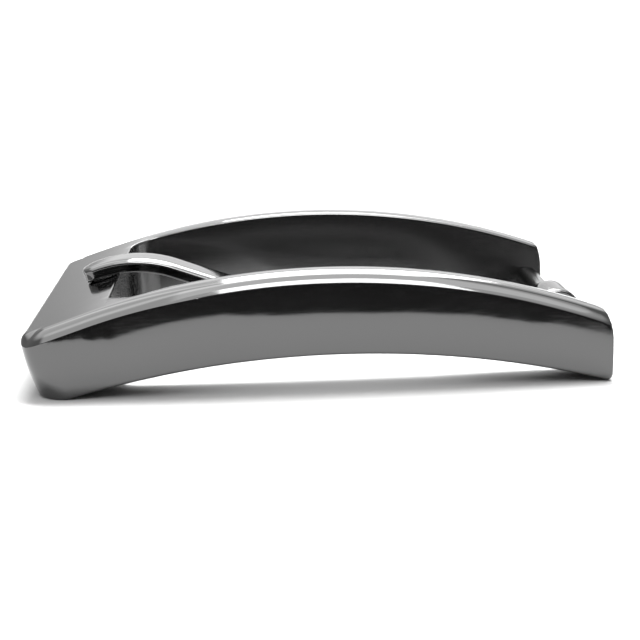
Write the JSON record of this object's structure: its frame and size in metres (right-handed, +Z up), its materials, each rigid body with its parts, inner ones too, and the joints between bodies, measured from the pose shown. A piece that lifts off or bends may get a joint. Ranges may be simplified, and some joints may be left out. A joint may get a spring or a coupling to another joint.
{
  "type": "prong belt buckle",
  "caption": "Arched cast belt buckle with a sloping front plate, an open back with a round strap bar, and a curved prong that turns on the bar and rests on the plate.",
  "frame": {"origin": "middle of the whole buckle in plan, on the surface that it stands on", "axes": "+X along the buckle from the front plate to the strap bar, +Y across the strap, +Z up out of the face of the buckle"},
  "size_m": [0.0722, 0.0508, 0.0143],
  "materials": {
    "frame_metal": "polished gunmetal plating (black nickel) on cast zinc alloy",
    "prong_metal": "polished gunmetal plating (black nickel) on cast zinc alloy"
  },
  "bodies": {
    "frame_body": {"frame": "frame_metal"},
    "prong_body": {"prong": "prong_metal"}
  },
  "joints": [
    {"name": "prong_pivot", "type": "hinge", "parent": "frame_body", "child": "prong_body", "pos_m": [0.03308, 0, 0.0035], "axis": [0, 1, 0], "range_deg": [0, 170]}
  ]
}
